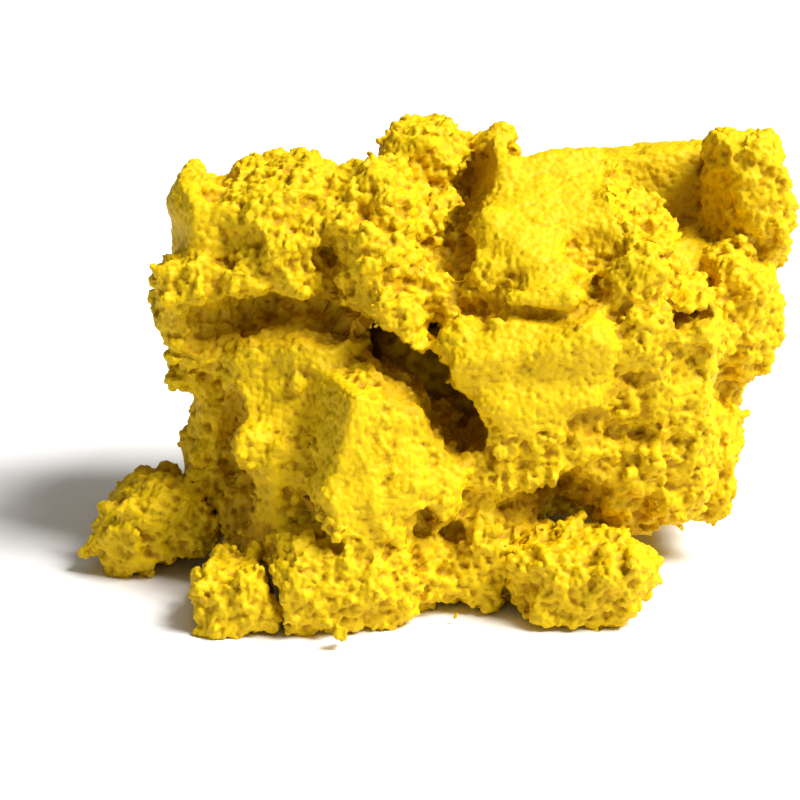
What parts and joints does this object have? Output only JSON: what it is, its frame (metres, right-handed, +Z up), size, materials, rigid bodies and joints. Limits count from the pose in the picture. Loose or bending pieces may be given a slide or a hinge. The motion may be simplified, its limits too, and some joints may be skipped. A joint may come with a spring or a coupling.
{
  "type": "clay bar",
  "caption": "Torn, kneaded lump of yellow detailing clay with crumbly chunks, pressed faces and pinched-off feet that pull away.",
  "frame": {"origin": "on the surface the lump lies on, under the middle of its bounding box", "axes": "+Z up, +X along the lump's long side, towards the tall ragged edge on the right, -Y towards the front, where the big wedge and the three feet are"},
  "size_m": [0.0628, 0.0394, 0.038],
  "materials": {
    "clay": "matte, finely grained, faintly waxy"
  },
  "bodies": {
    "lump": {"back_lower_left": "clay", "back_lower_middle": "clay", "back_lower_right": "clay", "back_slab": "clay", "back_upper_left": "clay", "back_upper_middle": "clay", "centre_bridge": "clay", "centre_left_block": "clay", "centre_right_block": "clay", "core": "clay", "drip_crumb": "clay", "front_wedge": "clay", "groove_floor": "clay", "left_blade": "clay", "left_cheek": "clay", "left_flake": "clay", "left_shoulder": "clay", "left_slope": "clay", "lower_front_left": "clay", "lower_front_right": "clay", "lower_left_block": "clay", "lower_right_chunk": "clay", "plateau": "clay", "ridge_nodule": "clay", "right_fringe_low": "clay", "right_fringe_middle": "clay", "right_fringe_top": "clay", "right_ridge": "clay", "right_shoulder": "clay", "scoop_floor": "clay", "star_crumb": "clay", "top_knob": "clay", "top_pillar": "clay", "upper_left_chunk": "clay", "upper_middle_ridge": "clay"},
    "left_foot": {"left_foot": "clay"},
    "front_left_foot": {"front_left_foot": "clay"},
    "right_foot": {"right_foot": "clay"},
    "loose_crumb": {"loose_crumb": "clay"}
  },
  "joints": [
    {"name": "left_foot_pull", "type": "slide", "parent": "lump", "child": "left_foot", "axis": [-1, 0, 0], "range_m": [0, 0.02]},
    {"name": "front_left_foot_pull", "type": "slide", "parent": "lump", "child": "front_left_foot", "axis": [-0.5, -0.866, 0], "range_m": [0, 0.02]},
    {"name": "right_foot_pull", "type": "slide", "parent": "lump", "child": "right_foot", "axis": [0.2588, -0.9659, 0], "range_m": [0, 0.02]},
    {"name": "loose_crumb_lift", "type": "slide", "parent": "lump", "child": "loose_crumb", "axis": [0, -0.7071, 0.7071], "range_m": [0, 0.02]}
  ]
}
